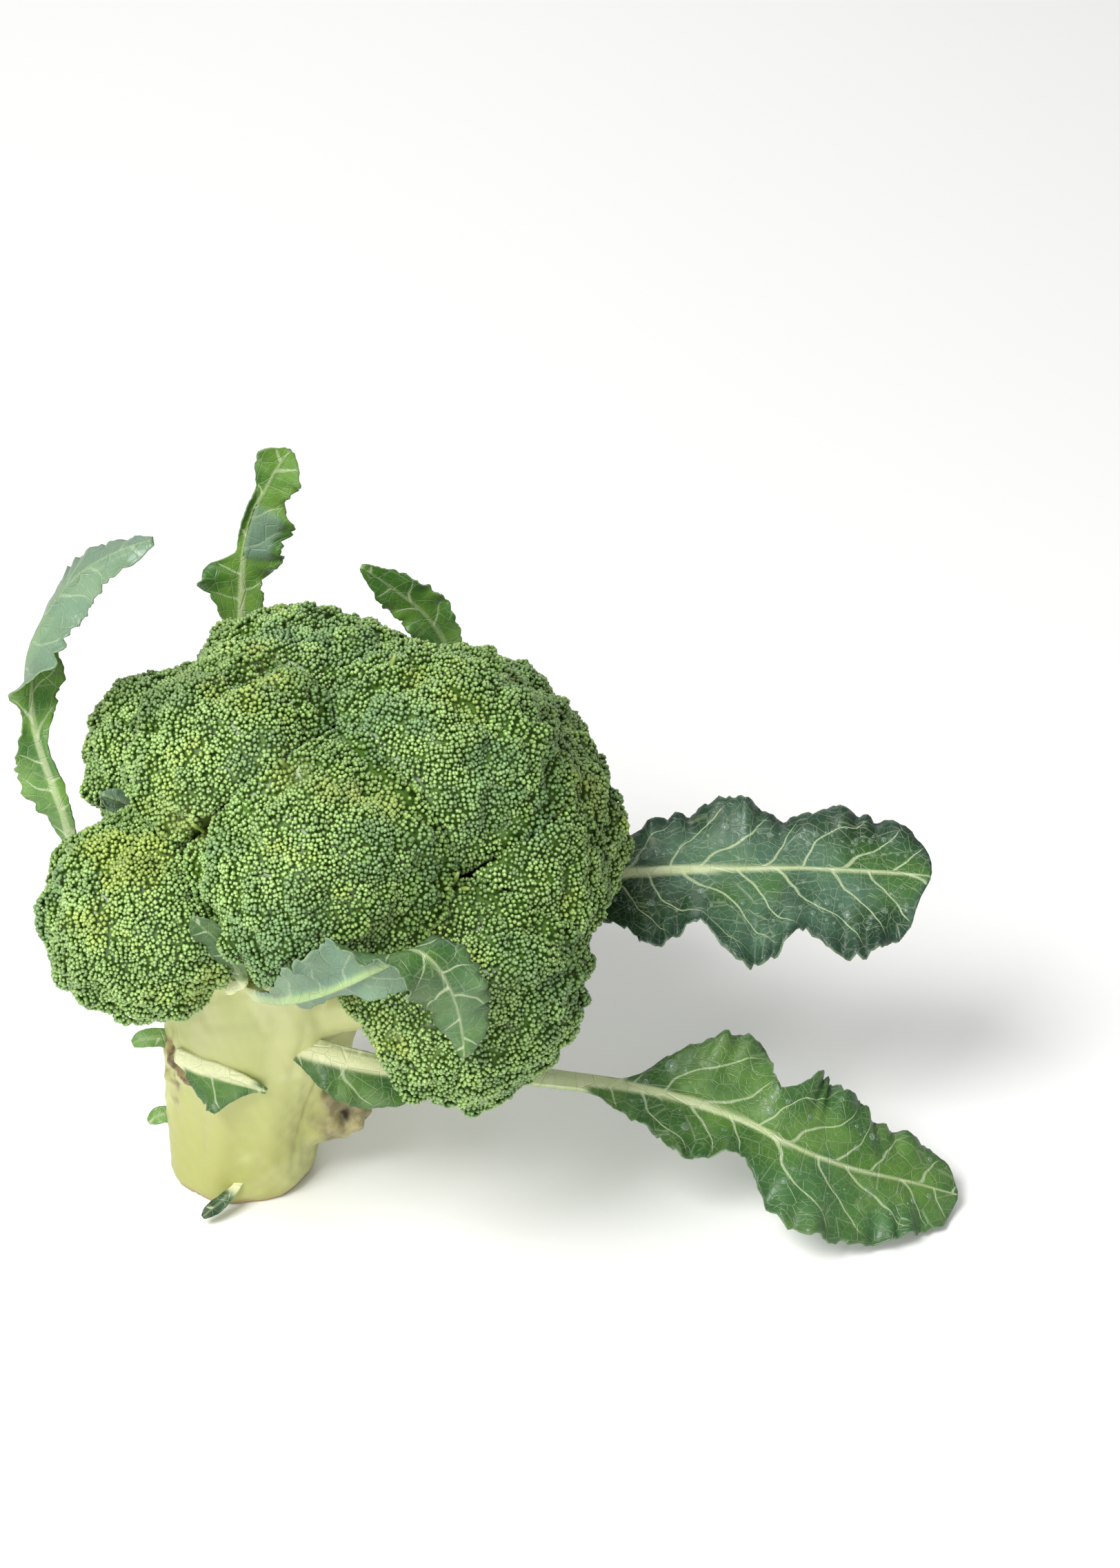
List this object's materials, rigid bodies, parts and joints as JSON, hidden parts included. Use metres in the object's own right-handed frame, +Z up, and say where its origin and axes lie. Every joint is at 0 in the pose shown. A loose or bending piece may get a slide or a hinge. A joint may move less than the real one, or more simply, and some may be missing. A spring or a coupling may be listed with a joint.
{
  "type": "broccoli head",
  "caption": "Domed head of tightly packed green bud florets on a thick pale cut stalk, with a few narrow toothed leaves left on it; it stands on the cut end.",
  "frame": {"origin": "centre of the flat cut face at the foot of the stalk, which the head stands on", "axes": "+Z up along the stalk; +X towards the long leaf that reaches down to the surface; -Y towards the viewer of the reference view"},
  "size_m": [0.2853, 0.2089, 0.2227],
  "materials": {
    "stalk": "satin",
    "floret": "matte",
    "leaf": "satin"
  },
  "bodies": {
    "root": {"stalk": "stalk", "floret_top_back": "floret", "floret_top_right": "floret", "floret_top_left": "floret", "floret_front": "floret", "floret_left_back": "floret", "floret_left_front": "floret", "floret_right_front": "floret", "floret_right_mid": "floret", "floret_right": "floret", "floret_back_right": "floret", "floret_back": "floret", "floret_back_left": "floret", "leaf_right_low": "leaf", "leaf_right_mid": "leaf", "leaf_left": "leaf", "leaf_back": "leaf", "leaf_back_small": "leaf", "leaf_front": "leaf", "leaf_front_small": "leaf", "leaflet_in_left_cleft": "leaf", "leaf_base_left_cut": "leaf", "sprout_at_foot": "leaf", "bud_leaf_left_upper": "leaf", "bud_leaf_left_lower": "leaf"}
  },
  "joints": []
}
